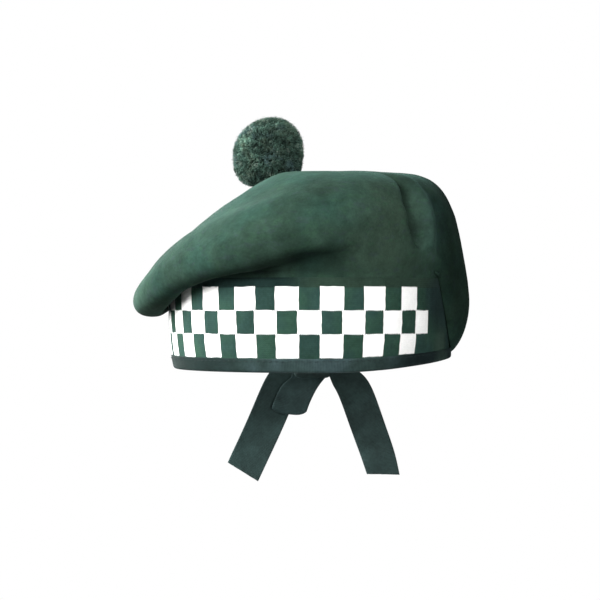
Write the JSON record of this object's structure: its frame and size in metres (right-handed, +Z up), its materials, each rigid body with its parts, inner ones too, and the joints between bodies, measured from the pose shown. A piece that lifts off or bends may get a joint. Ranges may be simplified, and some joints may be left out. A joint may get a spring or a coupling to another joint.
{
  "type": "balmoral bonnet",
  "caption": "Soft felted wool bonnet with a diced knitted head band, a yarn pompom on its crown, a bound rim, and ribbon tails and a loop hanging at the back.",
  "frame": {"origin": "middle of the head opening, at the rim's lowest level, where the bonnet sits on the head", "axes": "+Z up; the wearer looks along -Y, so the ribbons hang at +Y; +X is the wearer's left, and the crown is pulled down towards -X"},
  "size_m": [0.216, 0.2398, 0.243],
  "materials": {
    "felt": "milled wool felt, matt with a soft nap",
    "knit": "knitted wool, diced in green and white",
    "braid": "ribbed ribbon binding, slightly lustrous",
    "yarn": "cut wool yarn",
    "ribbon": "ribbed ribbon, slightly lustrous"
  },
  "bodies": {
    "root": {"crown": "felt", "head_band": "knit", "edge_binding": "braid", "toorie": "yarn", "ribbon_tail_left": "ribbon", "ribbon_tail_right": "ribbon", "ribbon_loop": "ribbon", "ribbon_knot": "ribbon"}
  },
  "joints": []
}
